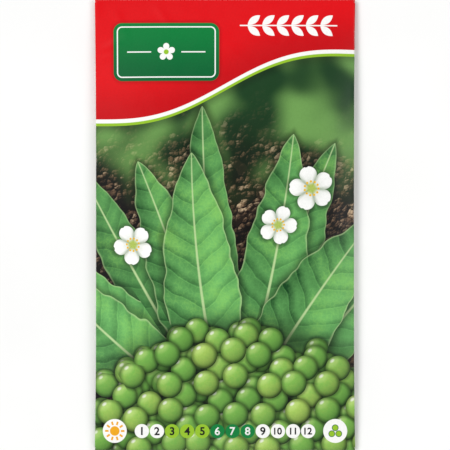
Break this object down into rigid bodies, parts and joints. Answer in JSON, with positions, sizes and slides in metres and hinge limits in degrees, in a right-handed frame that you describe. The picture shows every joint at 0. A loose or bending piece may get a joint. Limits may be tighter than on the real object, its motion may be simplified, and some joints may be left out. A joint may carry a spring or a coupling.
{
  "type": "seed packet",
  "caption": "Flat rectangular paper envelope with folded sides, a glued back seam and glued end flaps, holding a layer of loose dried peas.",
  "frame": {"origin": "under the middle of the packet, on the surface that its back lies on", "axes": "+X across the packet, to the right seen from the front; +Y along it, towards the top edge; +Z out of the printed front panel"},
  "size_m": [0.093, 0.161, 0.0094],
  "materials": {
    "printed_paper": "satin",
    "dried_glue": "satin",
    "dried_pea": "matte"
  },
  "bodies": {
    "root": {"packet_paper": "printed_paper", "seam_glue": "dried_glue", "bottom_flap_glue": "dried_glue", "top_flap_glue": "dried_glue", "pea_seed_01": "dried_pea", "pea_seed_02": "dried_pea", "pea_seed_03": "dried_pea", "pea_seed_04": "dried_pea", "pea_seed_05": "dried_pea", "pea_seed_06": "dried_pea", "pea_seed_07": "dried_pea", "pea_seed_08": "dried_pea", "pea_seed_09": "dried_pea", "pea_seed_10": "dried_pea", "pea_seed_11": "dried_pea", "pea_seed_12": "dried_pea", "pea_seed_13": "dried_pea", "pea_seed_14": "dried_pea", "pea_seed_15": "dried_pea", "pea_seed_16": "dried_pea", "pea_seed_17": "dried_pea", "pea_seed_18": "dried_pea", "pea_seed_19": "dried_pea", "pea_seed_20": "dried_pea", "pea_seed_21": "dried_pea", "pea_seed_22": "dried_pea", "pea_seed_23": "dried_pea", "pea_seed_24": "dried_pea", "pea_seed_25": "dried_pea", "pea_seed_26": "dried_pea", "pea_seed_27": "dried_pea", "pea_seed_28": "dried_pea", "pea_seed_29": "dried_pea", "pea_seed_30": "dried_pea", "pea_seed_31": "dried_pea", "pea_seed_32": "dried_pea", "pea_seed_33": "dried_pea", "pea_seed_34": "dried_pea", "pea_seed_35": "dried_pea", "pea_seed_36": "dried_pea", "pea_seed_37": "dried_pea", "pea_seed_38": "dried_pea", "pea_seed_39": "dried_pea", "pea_seed_40": "dried_pea", "pea_seed_41": "dried_pea", "pea_seed_42": "dried_pea", "pea_seed_43": "dried_pea", "pea_seed_44": "dried_pea"}
  },
  "joints": []
}
